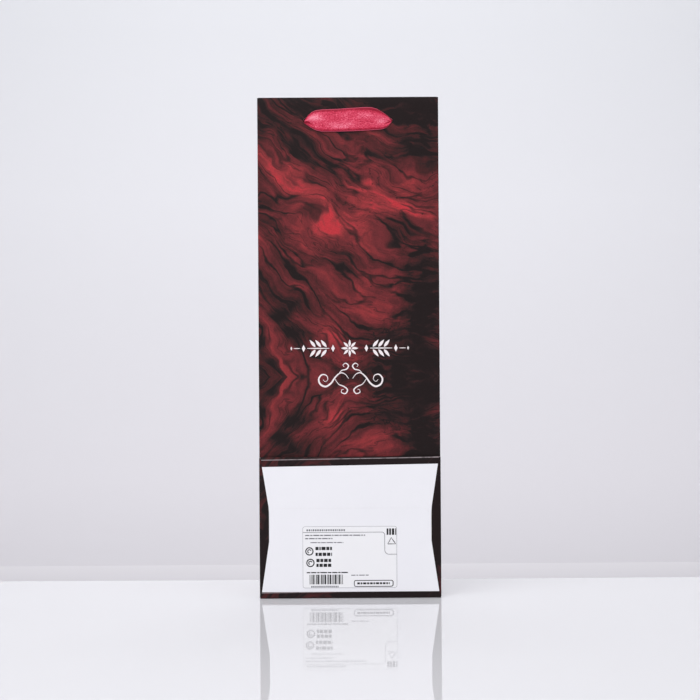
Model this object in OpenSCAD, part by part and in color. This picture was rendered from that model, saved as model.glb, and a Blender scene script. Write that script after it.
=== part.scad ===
// Wine gift bag of laminated printed paper, folded flat and standing on its base fold.
// The front faces -Y, +Z is up, the origin is the middle of the footprint at the base.
// Each panel between two creases is a plate of its own, so that the bag can open.

/* [Bag] */
// Width of the front and back panels
bag_w = 130; // [100:1:180]
// Height of the bag
bag_h = 360; // [300:1:420]
// Depth of the bag when it stands open (the gusset width)
bag_d = 100; // [80:1:110]

/* [Paper] */
// Thickness of the laminated printed paper
paper_t = 0.24; // [0.2:0.01:0.26]
// Spacing of the four stacked wall layers while the bag is flat
layer = 1.4; // [1.4:0.05:1.6]
// Height of the turned-in top hem
hem_h = 37; // [30:1:45]
// Thickness of the turned-in hem paper
hem_t = 0.2; // [0.15:0.01:0.2]
// Thickness of the reinforcement card under the hem
card_t = 0.35; // [0.25:0.01:0.35]
// Width of the glued lap that closes the tube
lap_w = 15; // [10:1:20]

/* [Base] */
// Thickness of the loose base board
board_t = 0.7; // [0.5:0.05:0.8]
// Height of the outer base flap's free edge above the base fold
outer_flap_h = 64.5; // [55:0.5:70]
// Height at which the inner base flap's free edge lies
inner_flap_z = 36; // [25:1:45]
// How far the side flaps reach in from the side edges
side_flap_w = 42; // [30:1:50]
// Width of the label stuck on the outer base flap
label_w = 67.6; // [50:0.1:80]
// Height of the label
label_h = 45; // [30:0.5:48]

/* [Ribbon handles] */
// Distance between the two punched holes of a panel
hole_spacing = 59; // [50:0.5:70]
// Distance of the holes below the top edge
hole_drop = 17; // [14:0.5:22]
// Diameter of a punched hole
hole_d = 5; // [4.6:0.1:6]
// Width of the satin ribbon
ribbon_w = 17; // [12:0.5:18]
// Length of ribbon that lies across the panel, between the holes
ribbon_run = 63; // [60:0.5:75]
// Length of ribbon drawn inside, from a hole down to its knot
tail_l = 93; // [60:1:110]

/* [Hidden] */

print_col = [0.42, 0.12, 0.15];
dark_col = [0.20, 0.10, 0.12];
white_col = [0.93, 0.94, 0.97];
card_col = [0.80, 0.77, 0.70];
board_col = [0.62, 0.60, 0.57];
ribbon_col = [0.80, 0.13, 0.27];
$fn = 48;

hw = bag_w / 2;              // half the width
hx = hole_spacing / 2;       // x of a punched hole
hz = bag_h - hole_drop;      // z of a punched hole
gap = 0.05;                  // clearance between stacked layers
rib_t = 1.5;                 // thickness of the gathered ribbon across a panel

// depth of the stack in front of the back panel's middle plane
d_front = 3 * layer;                           // front panel
d_strip = d_front + 0.5;                       // folded-up base strip of the front panel
d_tri = d_strip + 0.4;                         // small front triangles
d_base_tri = d_tri + 0.4;                      // large base triangles
d_board = d_base_tri + paper_t / 2 + 0.13;     // inner face of the base board
d_side = d_board + board_t + gap;              // inner face of the side flaps
d_inner = d_side + paper_t + gap;              // inner face of the inner base flap
d_outer = d_inner + paper_t + gap;             // inner face of the outer base flap
d_label = d_outer + paper_t;                   // inner face of the label
label_t = 0.1;
// the back panel's middle plane lies here, so that the origin is in the middle of the depth
reach_back = paper_t / 2 + 0.1 + rib_t;
reach_front = d_label + label_t;
y0 = (reach_front - reach_back) / 2;

base_l = bag_d + layer;      // length of the base from fold to fold
crease_z = base_l / 2;       // height of the horizontal crease
split_z = base_l + 0.3;      // above this height the walls stay flat while the bag opens
mid = hw - bag_d / 2;        // |x| of the gussets' mid crease while the bag is flat
in = 0.1;                    // how far a plate ends short of its crease

// a plate with the outline pts in X and Z, from depth a to depth b in front of the back panel
module plate(pts, a, b) {
    translate([0, y0 - a, 0]) rotate([90, 0, 0]) linear_extrude(b - a) polygon(pts);
}
function mirrored(pts, s) = s < 0 ? [for (i = [len(pts) - 1:-1:0]) [-pts[i][0], pts[i][1]]] : pts;
function rect(x0, x1, z0, z1) = [[x0, z0], [x1, z0], [x1, z1], [x0, z1]];
// a paper plate whose middle plane lies at depth d
module sheet(pts, d) { plate(pts, d - paper_t / 2, d + paper_t / 2); }
// the two punched holes, cut through everything from depth a to depth b
module holes(a, b) {
    for (s = [-1, 1]) translate([s * hx, y0 - a + 1, hz]) rotate([90, 0, 0]) cylinder(d = hole_d, h = b - a + 2);
}

// ---- back wall
module back_panel() {
    color(print_col) difference() {
        sheet(rect(-hw + 0.05, hw - 0.05, 0, bag_h), 0);
        holes(-1, 1);
    }
}
module back_top_card() {
    color(card_col) difference() {
        plate(rect(-hw + 3, hw - 3, bag_h - hem_h + 4, bag_h - 1.5), paper_t / 2 + gap, paper_t / 2 + gap + card_t);
        holes(0, 1);
    }
}
module back_hem() {
    color(print_col) difference() {
        plate(rect(-hw + 1, hw - 1, bag_h - hem_h, bag_h - 0.1), paper_t / 2 + 2 * gap + card_t, paper_t / 2 + 2 * gap + card_t + hem_t);
        holes(0, 1.5);
    }
}
module glue_lap() {
    color(white_col) plate([[-hw + 0.3, 22], [-hw + lap_w, 36], [-hw + lap_w, bag_h - hem_h - 6], [-hw + 0.3, bag_h - hem_h - 2]],
        paper_t / 2 + gap, paper_t / 2 + gap + hem_t);
}

// ---- gussets: s is -1 on the left and 1 on the right
module rear_gusset(s) {
    color(print_col) sheet(mirrored([[mid + in, bag_h], [mid + in, crease_z + 0.9], [hw - in, 1.4], [hw - in, bag_h]], s), layer);
}
module rear_gusset_hem(s) {
    color(print_col) plate(mirrored(rect(mid + 1, hw - 1.2, bag_h - hem_h, bag_h - 0.1), s), layer - paper_t / 2 - 0.02 - 0.18, layer - paper_t / 2 - 0.02);
}
module front_gusset(s) {
    color(print_col) sheet(mirrored(rect(mid + in, hw - in, split_z, bag_h), s), 2 * layer);
}
module front_gusset_lower(s) {
    color(dark_col) sheet(mirrored(rect(mid + in, hw - in, crease_z + 0.1, split_z), s), 2 * layer);
}
module front_gusset_hem(s) {
    color(print_col) plate(mirrored(rect(mid + 1, hw - 1.2, bag_h - hem_h, bag_h - 0.1), s), 2 * layer + paper_t / 2 + 0.02, 2 * layer + paper_t / 2 + 0.02 + 0.18);
}
module left_rear_gusset() { rear_gusset(-1); }
module right_rear_gusset() { rear_gusset(1); }
module left_rear_gusset_hem() { rear_gusset_hem(-1); }
module right_rear_gusset_hem() { rear_gusset_hem(1); }
module left_front_gusset() { front_gusset(-1); }
module right_front_gusset() { front_gusset(1); }
module left_front_gusset_lower() { front_gusset_lower(-1); }
module right_front_gusset_lower() { front_gusset_lower(1); }
module left_front_gusset_hem() { front_gusset_hem(-1); }
module right_front_gusset_hem() { front_gusset_hem(1); }

// ---- front wall
module front_panel() {
    color(print_col) difference() {
        sheet(rect(-hw + 0.05, hw - 0.05, split_z, bag_h), d_front);
        holes(d_front - 1, d_front + 1);
    }
}
module front_panel_lower() {
    color(dark_col) sheet(rect(-hw + 0.05, hw - 0.05, crease_z + 0.1, split_z), d_front);
}
module front_top_card() {
    color(card_col) difference() {
        plate(rect(-hw + 3, hw - 3, bag_h - hem_h + 4, bag_h - 1.5), d_front - paper_t / 2 - gap - card_t, d_front - paper_t / 2 - gap);
        holes(d_front - 1, d_front);
    }
}
module front_hem() {
    color(print_col) difference() {
        plate(rect(-hw + 1, hw - 1, bag_h - hem_h, bag_h - 0.1), d_front - paper_t / 2 - 2 * gap - card_t - hem_t, d_front - paper_t / 2 - 2 * gap - card_t);
        holes(d_front - 1.5, d_front);
    }
}

// ---- the folded base of the front wall and of the gussets
module front_base_strip() {
    color(dark_col) sheet(rect(-hw + 0.3, hw - 0.3, crease_z + 0.1, base_l - 0.2), d_strip);
}
module front_triangle(s) {
    color(dark_col) sheet(mirrored([[mid + 1.5, crease_z + 0.4], [hw - 0.4, crease_z + 0.4], [hw - 0.4, base_l - 1.6]], s), d_tri);
}
module left_front_triangle() { front_triangle(-1); }
module right_front_triangle() { front_triangle(1); }
module base_triangle(s) {
    color(dark_col) sheet(mirrored([[hw - 0.3, 1.4], [hw - 0.3, base_l - 1.4], [mid + 1.2, crease_z]], s), d_base_tri);
}
module left_base_triangle() { base_triangle(-1); }
module right_base_triangle() { base_triangle(1); }

// ---- the base
module bottom_outer_flap() {
    color(white_col) plate([[-hw + 0.2, 0.4], [hw - 0.2, 0.4], [hw - 1.5, 4.7], [hw - 6.9, 42], [hw - 6.9, outer_flap_h - 6], [hw - 12, outer_flap_h],
        [-hw + 12, outer_flap_h], [-hw + 6.9, outer_flap_h - 6], [-hw + 6.9, 42], [-hw + 1.5, 4.7]], d_outer, d_outer + paper_t);
}
module bottom_inner_flap() {
    color(white_col) plate([[-hw + 0.2, base_l - 0.2], [-hw + 2.1, base_l - 6], [-hw + 6.7, 64], [-hw + 6.7, inner_flap_z],
        [hw - 6.7, inner_flap_z], [hw - 6.7, 64], [hw - 2.1, base_l - 6], [hw - 0.2, base_l - 0.2]], d_inner, d_inner + paper_t);
}
module side_flap(s) {
    color(dark_col) plate(mirrored([[hw - 0.4, 1.5], [hw - 0.4, base_l - 1.5], [hw - side_flap_w, base_l - 22], [hw - side_flap_w, 22]], s), d_side, d_side + paper_t);
}
module bottom_left_flap() { side_flap(-1); }
module bottom_right_flap() { side_flap(1); }
module bottom_board() {
    color(board_col) plate(rect(-hw + 1.6, hw - 1.6, 2.2, base_l - 2.2), d_board, d_board + board_t);
}
// the band of printed paper between the back panel's base and the outer flap
module bottom_base_fold() {
    color(dark_col) translate([-hw + 0.3, y0 - d_outer - paper_t, 0]) cube([bag_w - 0.6, d_outer + paper_t - paper_t / 2 - 0.1, 0.36]);
}
module bottom_label() {
    color(white_col) plate(rect(-label_w / 2, label_w / 2, 7, 7 + label_h), d_label, d_label + label_t);
}

// ---- ribbon handles: f is 1 on the front panel and -1 on the back panel
// depth of a point that lies o outside the panel's outer face
function out_d(f, o) = f > 0 ? d_front + paper_t / 2 + o : -paper_t / 2 - o;
function wave(x) = 0.18 * sin(x * 37) + 0.1 * sin(x * 61 + 40);
ribbon_steps = 36;
function run_x(i) = -ribbon_run / 2 + ribbon_run * i / ribbon_steps;
ribbon_plan = concat(
    [for (i = [0:ribbon_steps]) [run_x(i), 0.1]],
    [for (i = [ribbon_steps:-1:0]) [run_x(i), 0.1 + rib_t - 0.28 + wave(run_x(i)) - (abs(run_x(i)) > hx ? 0.35 : 0)]]
);
ribbon_face = [[-ribbon_run / 2, -5], [-ribbon_run / 2 + 6, -ribbon_w / 2 + 1], [-ribbon_run / 2 + 14, -ribbon_w / 2], [ribbon_run / 2 - 14, -ribbon_w / 2],
    [ribbon_run / 2 - 6, -ribbon_w / 2 + 1], [ribbon_run / 2, -5], [ribbon_run / 2, 5], [ribbon_run / 2 - 6, ribbon_w / 2 - 1],
    [ribbon_run / 2 - 14, ribbon_w / 2], [-ribbon_run / 2 + 14, ribbon_w / 2], [-ribbon_run / 2 + 6, ribbon_w / 2 - 1], [-ribbon_run / 2, 5]];
module ribbon_strip(f) {
    color(ribbon_col) translate([0, y0 - out_d(f, 0), hz]) intersection() {
        translate([0, 0, -ribbon_w]) linear_extrude(2 * ribbon_w) polygon([for (q = ribbon_plan) [q[0], -f * q[1]]]);
        translate([0, 5, 0]) rotate([90, 0, 0]) linear_extrude(10) polygon(ribbon_face);
    }
}
// depth of the ribbon drawn inside, between the hem and the gusset's hem
tail_t = 0.2;
tail_a = paper_t / 2 + 3 * gap + card_t + hem_t;
function in_d(f, o) = f > 0 ? d_front - o : o;
module ribbon_tails(f) {
    d1 = in_d(f, tail_a);
    d2 = in_d(f, tail_a + tail_t);
    a = min(d1, d2);
    b = max(d1, d2);
    o = out_d(f, 0.02);
    color(ribbon_col) for (s = [-1, 1]) {
        plate(rect(s * hx - 5, s * hx + 5, hz - tail_l, hz + 5), a, b);
        translate([s * hx, y0 - min(o, a), hz]) rotate([90, 0, 0]) cylinder(d = hole_d - 0.5, h = abs(o - (f > 0 ? a : b)));
    }
}
module ribbon_knots(f) {
    k1 = in_d(f, paper_t / 2 + 0.12);
    k2 = in_d(f, layer - paper_t / 2 - 0.12);
    a = min(k1, k2);
    b = max(k1, k2);
    color(ribbon_col) for (s = [-1, 1]) {
        translate([s * hx, y0 - a, hz - tail_l - 6.5]) rotate([90, 0, 0]) cylinder(d = 13, h = b - a);
        plate([[s * hx - 4, hz - tail_l - 27], [s * hx + 6, hz - tail_l - 30], [s * hx + 4.5, hz - tail_l - 8], [s * hx - 4.5, hz - tail_l - 8]],
            (a + b) / 2 - 0.2, (a + b) / 2 + 0.2);
    }
}
module front_ribbon() { ribbon_strip(1); }
module back_ribbon() { ribbon_strip(-1); }
module front_ribbon_tails() { ribbon_tails(1); }
module back_ribbon_tails() { ribbon_tails(-1); }
module front_ribbon_knots() { ribbon_knots(1); }
module back_ribbon_knots() { ribbon_knots(-1); }

back_panel();
back_top_card();
back_hem();
glue_lap();
left_rear_gusset();
left_rear_gusset_hem();
left_front_gusset();
left_front_gusset_lower();
left_front_gusset_hem();
right_rear_gusset();
right_rear_gusset_hem();
right_front_gusset();
right_front_gusset_lower();
right_front_gusset_hem();
front_panel();
front_panel_lower();
front_top_card();
front_hem();
front_base_strip();
left_front_triangle();
right_front_triangle();
left_base_triangle();
right_base_triangle();
bottom_outer_flap();
bottom_inner_flap();
bottom_left_flap();
bottom_right_flap();
bottom_board();
bottom_base_fold();
bottom_label();
front_ribbon();
front_ribbon_tails();
front_ribbon_knots();
back_ribbon();
back_ribbon_tails();
back_ribbon_knots();
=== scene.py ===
import bpy, math
import numpy as np
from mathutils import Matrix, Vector, geometry


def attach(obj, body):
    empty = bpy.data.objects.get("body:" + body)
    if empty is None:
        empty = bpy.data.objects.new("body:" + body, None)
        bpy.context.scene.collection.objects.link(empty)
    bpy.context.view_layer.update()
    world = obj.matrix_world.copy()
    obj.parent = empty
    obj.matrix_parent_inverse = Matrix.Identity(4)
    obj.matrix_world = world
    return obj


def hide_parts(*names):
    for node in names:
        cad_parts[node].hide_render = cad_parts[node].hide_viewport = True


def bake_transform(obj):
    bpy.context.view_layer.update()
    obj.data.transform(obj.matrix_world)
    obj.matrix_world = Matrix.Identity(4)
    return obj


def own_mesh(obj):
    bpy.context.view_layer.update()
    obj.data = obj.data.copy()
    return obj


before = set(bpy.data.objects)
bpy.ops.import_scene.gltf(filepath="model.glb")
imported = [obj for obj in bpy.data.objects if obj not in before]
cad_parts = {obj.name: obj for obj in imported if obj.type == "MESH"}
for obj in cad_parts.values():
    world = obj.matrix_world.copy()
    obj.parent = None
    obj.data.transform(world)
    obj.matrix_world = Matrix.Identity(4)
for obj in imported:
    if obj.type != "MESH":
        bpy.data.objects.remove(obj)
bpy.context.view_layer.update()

MM = 0.001
scene = bpy.context.scene
scene.view_settings.view_transform = "Standard"

# ------------------------------------------------------------------ dimensions, in mm, as in the part's source
HW, H, P, T = 65.0, 360.0, 1.4, 0.24
Y0 = 2.85                       # middle plane of the back panel
BASE, CZ, MID = 101.4, 50.7, 15.0
HX, HZ, HR = 29.5, 343.0, 2.5   # punched holes
D_FRONT, D_STRIP, D_TRI, D_BT = 4 * P, 4 * P + 0.5, 4 * P + 0.9, 4 * P + 1.3
# the front panel is three layers of the creased gussets in front of the back panel
D_FRONT = 3 * P
D_STRIP, D_TRI, D_BT = D_FRONT + 0.5, D_FRONT + 0.9, D_FRONT + 1.3
D_BOARD = D_BT + T / 2 + 0.13
D_SIDE = D_BOARD + 0.75
D_INNER = D_SIDE + T + 0.05
D_OUTER = D_INNER + T + 0.05
D_LABEL = D_OUTER + T
HEM = 37.0
EX = HW - P / 2                  # the panels end here, their rounded creases reach the full width
HS = HW - 0.5

# ------------------------------------------------------------------ camera
cam = bpy.data.cameras.new("camera")
cam.lens, cam.sensor_width, cam.clip_start = 85.0, 36.0, 0.01
cam_o = bpy.data.objects.new("camera", cam)
scene.collection.objects.link(cam_o)
cam_o.location = (0.0006, -1.1905, 0.1781)
cam_o.rotation_euler = (math.radians(90), math.radians(0.36), 0)
scene.camera = cam_o


# ------------------------------------------------------------------ material helpers
def lin(h):
    h = h.lstrip("#")
    out = []
    for i in (0, 2, 4):
        c = int(h[i:i + 2], 16) / 255
        out.append(c / 12.92 if c <= 0.04045 else ((c + 0.055) / 1.055) ** 2.4)
    return (*out, 1.0)


def new_mat(name):
    m = bpy.data.materials.new(name)
    m.use_nodes = True
    m.node_tree.nodes.clear()
    return m, m.node_tree


def node(nt, kind, ins=None, **props):
    n = nt.nodes.new(kind)
    for k, v in props.items():
        setattr(n, k, v)
    for k, v in (ins or {}).items():
        s = n.inputs[k]
        if isinstance(v, bpy.types.NodeSocket):
            nt.links.new(v, s)
        else:
            s.default_value = v
    return n


def M(nt, op, *a, clamp=False):
    n = nt.nodes.new("ShaderNodeMath")
    n.operation, n.use_clamp = op, clamp
    for i, v in enumerate(a):
        if isinstance(v, bpy.types.NodeSocket):
            nt.links.new(v, n.inputs[i])
        else:
            n.inputs[i].default_value = v
    return n.outputs[0]


def VM(nt, op, a, b=None, scale=None):
    n = nt.nodes.new("ShaderNodeVectorMath")
    n.operation = op
    for i, v in enumerate((a, b)):
        if v is None:
            continue
        if isinstance(v, bpy.types.NodeSocket):
            nt.links.new(v, n.inputs[i])
        else:
            n.inputs[i].default_value = v
    if scale is not None:
        n.inputs["Scale"].default_value = scale
    return n.outputs[0]


def noise_tex(nt, vec, scale, detail=3.0, rough=0.55, distort=0.0, out="Fac"):
    n = node(nt, "ShaderNodeTexNoise", {"Vector": vec, "Scale": scale, "Detail": detail, "Roughness": rough, "Distortion": distort})
    return n.outputs[out]


def xyz(nt, x, y, z=0.0):
    return node(nt, "ShaderNodeCombineXYZ", {0: x, 1: y, 2: z}).outputs[0]


def remap(nt, v, a, b, c=0.0, d=1.0, smooth=True):
    n = node(nt, "ShaderNodeMapRange", {0: v, 1: a, 2: b, 3: c, 4: d}, interpolation_type="SMOOTHSTEP" if smooth else "LINEAR")
    return n.outputs[0]


def mix(nt, f, a, b, mode="MIX"):
    n = nt.nodes.new("ShaderNodeMix")
    n.data_type, n.blend_type = "RGBA", mode
    for k, v in ((0, f), (6, a), (7, b)):
        if isinstance(v, bpy.types.NodeSocket):
            nt.links.new(v, n.inputs[k])
        else:
            n.inputs[k].default_value = v
    return n.outputs[2]


def ramp(nt, f, stops):
    n = node(nt, "ShaderNodeValToRGB", {0: f})
    el = n.color_ramp.elements
    while len(el) < len(stops):
        el.new(0.5)
    for e, (p, c) in zip(el, stops):
        e.position, e.color = p, lin(c)
    return n.outputs[0]


def bump(nt, height, dist, strength=1.0):
    return node(nt, "ShaderNodeBump", {"Strength": strength, "Distance": dist, "Height": height}).outputs[0]


def finish_mat(nt, colour, rough, normal=None, spec=0.5, sheen=0.0, sheen_rough=0.3, coat=0.0, coat_rough=0.3, aniso=0.0, tint=None, sheen_tint=None):
    b = node(nt, "ShaderNodeBsdfPrincipled")
    for k, v in (("Base Color", colour), ("Roughness", rough), ("Normal", normal)):
        if v is None:
            continue
        if isinstance(v, bpy.types.NodeSocket):
            nt.links.new(v, b.inputs[k])
        else:
            b.inputs[k].default_value = v
    b.inputs["Specular IOR Level"].default_value = spec
    b.inputs["Sheen Weight"].default_value = sheen
    b.inputs["Sheen Roughness"].default_value = sheen_rough
    b.inputs["Coat Weight"].default_value = coat
    b.inputs["Coat Roughness"].default_value = coat_rough
    b.inputs["Anisotropic"].default_value = aniso
    if tint:
        b.inputs["Specular Tint"].default_value = tint
    if sheen_tint:
        b.inputs["Sheen Tint"].default_value = sheen_tint
    o = node(nt, "ShaderNodeOutputMaterial")
    nt.links.new(b.outputs[0], o.inputs[0])
    return b


def uvmap(nt, name="print"):
    return node(nt, "ShaderNodeUVMap", uv_map=name).outputs[0]


# ------------------------------------------------------------------ marbled print under a satin laminate
def marble():
    m, nt = new_mat("marbled_laminate")
    uv = uvmap(nt)
    s = node(nt, "ShaderNodeSeparateXYZ", {0: uv})
    u = M(nt, "MULTIPLY", s.outputs[0], 100.0)
    v = M(nt, "MULTIPLY", s.outputs[1], 100.0)
    vm = M(nt, "ADD", M(nt, "ABSOLUTE", M(nt, "SUBTRACT", v, 15.9)), 15.9)     # the pattern is mirrored at this height
    um = M(nt, "SUBTRACT", M(nt, "PINGPONG", M(nt, "ADD", u, 6.5), 13.0), 6.5)  # and at each side edge
    p = xyz(nt, um, vm)
    w1 = VM(nt, "SCALE", VM(nt, "SUBTRACT", noise_tex(nt, VM(nt, "ADD", p, (3.7, 1.3, 5.0)), 0.13, 2.0, 0.5, out="Color"), (0.5, 0.5, 0.5)), scale=5.0)
    w2 = VM(nt, "SCALE", VM(nt, "SUBTRACT", noise_tex(nt, VM(nt, "ADD", p, (9.1, 4.2, 1.0)), 0.5, 2.0, 0.45, out="Color"), (0.5, 0.5, 0.5)), scale=1.5)
    pw = VM(nt, "ADD", VM(nt, "ADD", p, w1), w2)
    sw = node(nt, "ShaderNodeSeparateXYZ", {0: pw})
    uw, vw = sw.outputs[0], sw.outputs[1]
    fall = M(nt, "MULTIPLY", M(nt, "EXPONENT", M(nt, "DIVIDE", M(nt, "ADD", uw, 6.5), -4.6)), 6.5)
    ph = M(nt, "SUBTRACT", vw, fall)                   # level lines fall steeply on the left and run flat to the right
    n1 = noise_tex(nt, xyz(nt, M(nt, "MULTIPLY", uw, 0.17), M(nt, "MULTIPLY", ph, 0.46), 2.3), 1.0, 3.5, 0.52, 0.2)
    n2 = noise_tex(nt, xyz(nt, M(nt, "MULTIPLY", uw, 0.42), M(nt, "MULTIPLY", ph, 2.1), 7.7), 1.0, 3.0, 0.55, 0.2)
    n3 = noise_tex(nt, VM(nt, "ADD", pw, (0, 0, 4.4)), 1.5, 7.0, 0.66)
    # a guide that sets where the print is bright and where it is nearly black
    gs = node(nt, "ShaderNodeSeparateXYZ", {0: VM(nt, "ADD", p, VM(nt, "SCALE", w2, scale=0.9))})
    gx, gy = gs.outputs[0], gs.outputs[1]
    guide = None
    for cx, cy, rx, ry, amp in ((-1.4, 26.9, 2.6, 1.9, 0.30), (3.6, 28.2, 3.6, 1.0, 0.20), (-4.8, 30.2, 1.6, 3.0, 0.10), (0.0, 36.6, 12.0, 2.9, -0.36),
                                (5.6, 18.6, 1.9, 4.6, -0.44), (-1.5, 20.3, 4.2, 3.6, 0.05), (-5.6, 17.2, 2.4, 4.2, -0.09), (-4.7, 16.5, 1.3, 5.5, -0.12), (-2.6, 21.4, 1.0, 1.1, -0.20), (-4.9, 20.3, 0.75, 0.55, -0.45), (5.4, 32.0, 3.2, 2.4, -0.24),
                                (-6.0, 24.5, 1.5, 1.6, -0.12), (-3.6, 18.9, 0.9, 0.55, -0.36), (2.2, 18.4, 1.1, 0.6, -0.25)):
        a = M(nt, "POWER", M(nt, "ABSOLUTE", M(nt, "DIVIDE", M(nt, "SUBTRACT", gx, cx), rx)), 2.0)
        b = M(nt, "POWER", M(nt, "ABSOLUTE", M(nt, "DIVIDE", M(nt, "SUBTRACT", gy, cy), ry)), 2.0)
        g = M(nt, "MULTIPLY", M(nt, "EXPONENT", M(nt, "MULTIPLY", M(nt, "ADD", a, b), -1.0)), amp)
        guide = g if guide is None else M(nt, "ADD", guide, g)
    val = M(nt, "ADD", guide, 0.515)
    for n, k in ((n1, 1.7), (n2, 0.72), (n3, 0.50)):
        val = M(nt, "ADD", val, M(nt, "MULTIPLY", M(nt, "SUBTRACT", n, 0.5), k))
    # dark veins that follow the flow
    e1 = M(nt, "ABSOLUTE", M(nt, "SUBTRACT", noise_tex(nt, xyz(nt, M(nt, "MULTIPLY", uw, 0.20), M(nt, "MULTIPLY", ph, 0.62), 11.0), 1.0, 2.5, 0.5, 0.4), 0.5))
    e2 = M(nt, "ABSOLUTE", M(nt, "SUBTRACT", noise_tex(nt, xyz(nt, M(nt, "MULTIPLY", uw, 0.42), M(nt, "MULTIPLY", ph, 1.5), 17.0), 1.0, 3.0, 0.5, 0.6), 0.48))
    pres = noise_tex(nt, VM(nt, "ADD", p, (0, 0, 8.8)), 0.33, 2.0)
    v1 = M(nt, "MULTIPLY", remap(nt, e1, 0.0, 0.05, 1.0, 0.0), remap(nt, pres, 0.36, 0.56))
    v2 = M(nt, "MULTIPLY", remap(nt, e2, 0.0, 0.026, 1.0, 0.0), remap(nt, pres, 0.62, 0.42))
    val = M(nt, "SUBTRACT", val, M(nt, "ADD", M(nt, "MULTIPLY", v1, 0.42), M(nt, "MULTIPLY", v2, 0.24)), clamp=True)
    col = ramp(nt, val, ((0.0, "1f1617"), (0.09, "25191a"), (0.17, "311e1f"), (0.29, "422021"), (0.465, "5a2629"), (0.63, "722c30"), (0.77, "893235"), (0.87, "9d363b"), (1.0, "bd353d")))
    # a few black specks
    vo = node(nt, "ShaderNodeTexVoronoi", {"Vector": VM(nt, "ADD", p, VM(nt, "SCALE", w2, scale=0.2)), "Scale": 1.1, "Randomness": 1.0}, voronoi_dimensions="2D")
    pick = node(nt, "ShaderNodeSeparateColor", {0: vo.outputs["Color"]}).outputs[0]
    dots = M(nt, "MULTIPLY", remap(nt, vo.outputs["Distance"], 0.04, 0.085, 1.0, 0.0), M(nt, "GREATER_THAN", pick, 0.66))
    dots = M(nt, "MULTIPLY", dots, remap(nt, gx, -1.0, 3.0))
    col = mix(nt, M(nt, "MULTIPLY", dots, 0.85), col, lin("1c1c1d"))
    # print grain
    g1 = noise_tex(nt, VM(nt, "ADD", p, (0, 0, 21.0)), 9.0, 3.0, 0.7)
    g2 = noise_tex(nt, p, 38.0, 2.0, 0.6)
    k = M(nt, "ADD", M(nt, "MULTIPLY", M(nt, "SUBTRACT", g1, 0.5), 0.75), M(nt, "ADD", M(nt, "MULTIPLY", M(nt, "SUBTRACT", g2, 0.5), 0.35), 1.0))
    col = mix(nt, 1.0, col, node(nt, "ShaderNodeCombineColor", {0: k, 1: k, 2: k}).outputs[0], "MULTIPLY")
    # the laminate is scuffed pale along the creases of the base
    cr = M(nt, "ABSOLUTE", M(nt, "SUBTRACT", v, 5.07))
    worn = M(nt, "MULTIPLY", remap(nt, cr, 0.012, 0.045, 1.0, 0.0), remap(nt, noise_tex(nt, p, 3.0, 3.0), 0.35, 0.6))
    cb = M(nt, "ABSOLUTE", M(nt, "ADD", v, M(nt, "SUBTRACT", 4.115, M(nt, "MULTIPLY", u, 0.0115))))
    worn = M(nt, "MAXIMUM", M(nt, "MULTIPLY", worn, 0.16), M(nt, "MULTIPLY", remap(nt, cb, 0.018, 0.04, 1.0, 0.0), remap(nt, noise_tex(nt, p, 2.2, 3.0), 0.25, 0.55, 0.12, 0.5)))
    col = mix(nt, worn, col, lin("c9bcc0"))
    rough = M(nt, "ADD", M(nt, "MULTIPLY", noise_tex(nt, p, 2.0, 4.0), 0.16), 0.36)
    h = M(nt, "ADD", M(nt, "MULTIPLY", noise_tex(nt, p, 14.0, 3.0, 0.6), 0.7), M(nt, "MULTIPLY", noise_tex(nt, p, 60.0, 2.0), 0.3))
    finish_mat(nt, col, rough, bump(nt, h, 0.00004, 0.55), spec=0.13, coat=0.02, coat_rough=0.30)
    return m


def paper(name, hexcol, spot=0.03, rough=0.6, spec=0.3, fibre=0.00003, coat=0.0):
    m, nt = new_mat(name)
    c = node(nt, "ShaderNodeTexCoord").outputs["Object"]
    a = noise_tex(nt, c, 55.0, 4.0, 0.6)
    b = noise_tex(nt, node(nt, "ShaderNodeMapping", {"Vector": c, "Scale": (1.0, 1.0, 0.35)}).outputs[0], 1900.0, 4.0, 0.65)
    k = M(nt, "ADD", M(nt, "ADD", M(nt, "MULTIPLY", M(nt, "SUBTRACT", a, 0.5), spot * 1.6), M(nt, "MULTIPLY", M(nt, "SUBTRACT", b, 0.5), spot)), 1.0)
    col = mix(nt, 1.0, lin(hexcol), node(nt, "ShaderNodeCombineColor", {0: k, 1: k, 2: M(nt, "ADD", M(nt, "MULTIPLY", k, 0.8), 0.2)}).outputs[0], "MULTIPLY")
    r = M(nt, "ADD", M(nt, "MULTIPLY", a, 0.14), rough - 0.07)
    finish_mat(nt, col, r, bump(nt, b, fibre, 0.6), spec=spec, coat=coat, coat_rough=0.35)
    return m


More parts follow.
